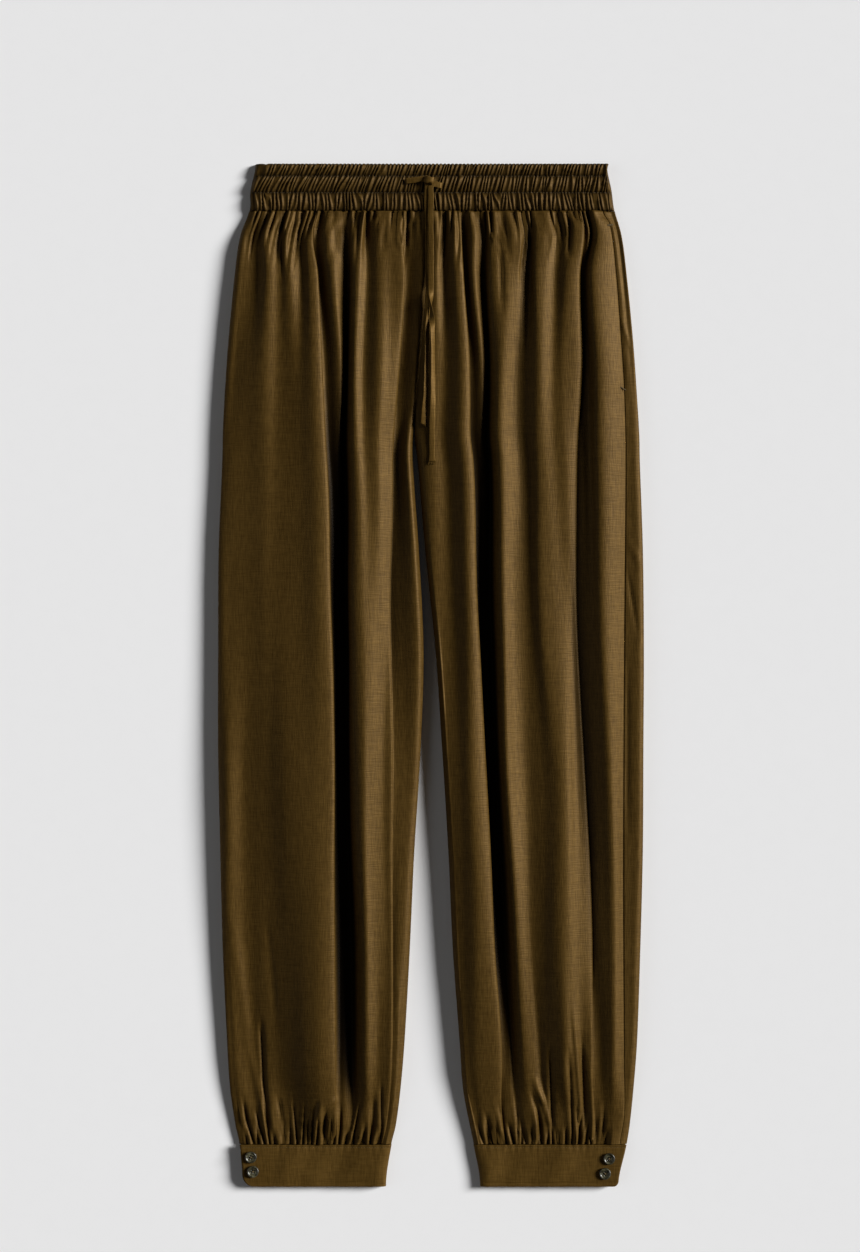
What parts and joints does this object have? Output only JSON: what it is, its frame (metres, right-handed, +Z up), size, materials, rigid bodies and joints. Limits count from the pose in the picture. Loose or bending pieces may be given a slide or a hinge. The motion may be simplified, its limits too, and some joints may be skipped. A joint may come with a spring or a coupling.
{
  "type": "balloon trousers laid flat",
  "caption": "Balloon trousers with an elasticated channelled waist, drawstring, full gathered legs, side seam pockets and buttoned ankle cuffs, laid flat on their back.",
  "frame": {"origin": "centre of the laid garment's box on the surface it lies on", "axes": "+X towards the wearer's left leg, +Y towards the waist, +Z up from the surface, out of the front"},
  "size_m": [0.416, 0.9999, 0.0283],
  "materials": {
    "satin": "olive brown viscose satin, soft sheen",
    "band_satin": "the same satin, finely pleated over elastic",
    "cuff_satin": "the same satin, double and interfaced",
    "pocketing": "plain olive brown pocket cloth",
    "tape": "flat tape of the same satin",
    "button": "marbled grey green horn look, dark rim",
    "thread": "olive brown sewing thread"
  },
  "bodies": {
    "root": {"front_right": "satin", "front_left": "satin", "back_right": "satin", "back_left": "satin", "waistband_front": "band_satin", "waistband_back": "band_satin", "cuff_right": "cuff_satin", "cuff_left": "cuff_satin", "pocket_right": "pocketing", "pocket_left": "pocketing", "button_right_upper": "button", "button_right_lower": "button", "button_left_upper": "button", "button_left_lower": "button", "drawstring_left_slit": "tape", "drawstring_right_slit": "tape", "drawstring_right_end": "tape", "drawstring_left_end": "tape", "drawstring_knot": "tape"}
  },
  "joints": []
}
